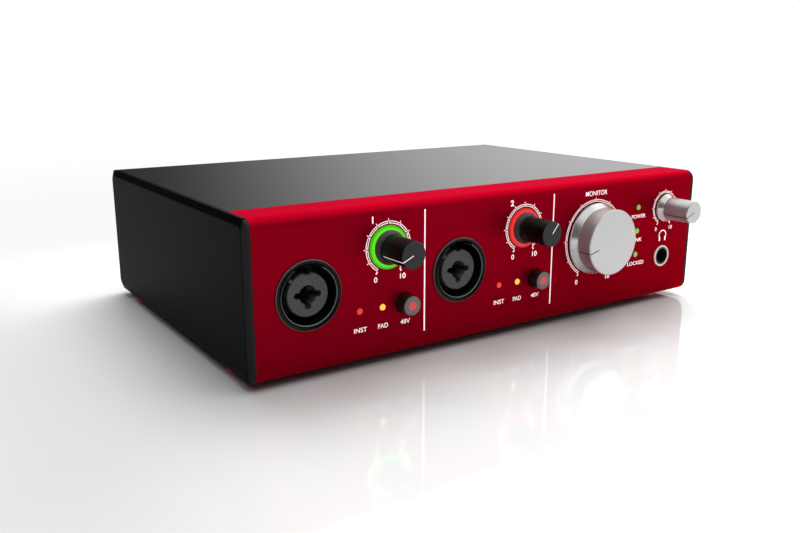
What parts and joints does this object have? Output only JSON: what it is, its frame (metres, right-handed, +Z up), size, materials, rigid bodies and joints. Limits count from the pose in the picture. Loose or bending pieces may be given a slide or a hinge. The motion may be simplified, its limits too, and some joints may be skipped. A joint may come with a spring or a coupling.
{
  "type": "audio interface",
  "caption": "Desktop audio interface: low black case with a wrap-around red front, round combined inputs, turning gain, monitor and headphone knobs, lit rings, push buttons and rear sockets.",
  "frame": {"origin": "centre of the overall size in plan, at the level of the feet", "axes": "+Z up, +X to the right as the front is seen, front facing -Y"},
  "size_m": [0.21, 0.163, 0.056],
  "materials": {
    "red_aluminium": "satin",
    "black_metal": "satin",
    "black_cheek": "satin",
    "black_panel": "matte",
    "steel": "satin",
    "red_rubber": "matte",
    "screw_steel": "satin",
    "screw_black": "satin",
    "contact_metal": "polished",
    "red_light": "polished",
    "amber_light": "polished",
    "green_light": "polished",
    "silver": "satin",
    "inner_plastic": "matte",
    "socket_plastic": "gloss",
    "pale_ring": "satin",
    "nut_metal": "satin",
    "shutter_plastic": "matte",
    "rocker_plastic": "gloss",
    "circuit_board": "satin",
    "chip_plastic": "matte",
    "capacitor_sleeve": "gloss",
    "ribbon_plastic": "satin",
    "bezel_black": "gloss",
    "insert_grey": "matte",
    "knob_black": "satin",
    "halo_green": "satin",
    "halo_red": "satin",
    "button_black": "satin",
    "lens_red": "satin"
  },
  "bodies": {
    "case": {"base_tray": "black_metal", "board_capacitors": "capacitor_sleeve", "board_chips": "chip_plastic", "board_spacers": "steel", "data_socket": "contact_metal", "five_pin_sockets": "socket_plastic", "foot_front_left": "red_rubber", "foot_front_right": "red_rubber", "foot_rear_left": "red_rubber", "foot_rear_right": "red_rubber", "foot_screws": "screw_steel", "front_board": "circuit_board", "front_fascia": "red_aluminium", "front_plate": "steel", "gain_1_halo": "halo_green", "gain_1_potentiometer": "inner_plastic", "gain_2_halo": "halo_red", "gain_2_potentiometer": "inner_plastic", "input_1_bezel": "bezel_black", "input_1_housing": "inner_plastic", "input_1_insert": "insert_grey", "input_2_bezel": "bezel_black", "input_2_housing": "inner_plastic", "input_2_insert": "insert_grey", "input_contacts": "contact_metal", "instrument_lights": "red_light", "left_cheek": "black_cheek", "line_output_jacks": "socket_plastic", "line_output_nuts": "nut_metal", "main_board": "circuit_board", "monitor_potentiometer": "inner_plastic", "optical_socket": "socket_plastic", "pad_lights": "amber_light", "panel_screws": "screw_black", "phantom_1_switch": "inner_plastic", "phantom_2_switch": "inner_plastic", "phones_jack": "socket_plastic", "phones_potentiometer": "inner_plastic", "phones_ring": "pale_ring", "power_inlet": "socket_plastic", "power_switch_frame": "socket_plastic", "rear_panel": "black_panel", "ribbon_cable": "ribbon_plastic", "right_cheek": "black_cheek", "status_lights": "green_light", "top_cover": "black_metal"},
    "gain_1": {"gain_1_knob": "knob_black", "gain_1_shaft": "steel"},
    "gain_2": {"gain_2_knob": "knob_black", "gain_2_shaft": "steel"},
    "monitor": {"monitor_knob": "silver", "monitor_shaft": "steel"},
    "phones": {"phones_knob": "silver", "phones_shaft": "steel"},
    "phantom_1": {"phantom_1_button": "button_black", "phantom_1_lens": "lens_red"},
    "phantom_2": {"phantom_2_button": "button_black", "phantom_2_lens": "lens_red"},
    "power_rocker": {"power_rocker": "rocker_plastic"},
    "optical_shutter": {"optical_shutter": "shutter_plastic"}
  },
  "joints": [
    {"name": "gain_1_turn", "type": "hinge", "parent": "case", "child": "gain_1", "pos_m": [-0.0536, -0.0715, 0.0415], "axis": [0, 1, 0], "range_deg": [-35, 265]},
    {"name": "gain_2_turn", "type": "hinge", "parent": "case", "child": "gain_2", "pos_m": [0.0067, -0.0715, 0.0415], "axis": [0, 1, 0], "range_deg": [-188, 112]},
    {"name": "monitor_turn", "type": "hinge", "parent": "case", "child": "monitor", "pos_m": [0.0443, -0.0715, 0.0331], "axis": [0, 1, 0], "range_deg": [-45, 255]},
    {"name": "phones_turn", "type": "hinge", "parent": "case", "child": "phones", "pos_m": [0.0864, -0.0715, 0.0415], "axis": [0, 1, 0], "range_deg": [-34, 266]},
    {"name": "phantom_1_press", "type": "slide", "parent": "case", "child": "phantom_1", "axis": [0, 1, 0], "range_m": [0, 0.0015], "stiffness_N_per_m": 900, "springref_m": -0.0008},
    {"name": "phantom_2_press", "type": "slide", "parent": "case", "child": "phantom_2", "axis": [0, 1, 0], "range_m": [0, 0.0015], "stiffness_N_per_m": 900, "springref_m": -0.0008},
    {"name": "power_rock", "type": "hinge", "parent": "case", "child": "power_rocker", "pos_m": [0.088, 0.075, 0.028], "axis": [-1, 0, 0], "range_deg": [0, 14]},
    {"name": "shutter_swing", "type": "hinge", "parent": "case", "child": "optical_shutter", "pos_m": [0.036, 0.076, 0.0276], "axis": [-1, 0, 0], "range_deg": [0, 80], "stiffness_Nm_per_rad": 0.0004, "springref_deg": -11.46}
  ]
}
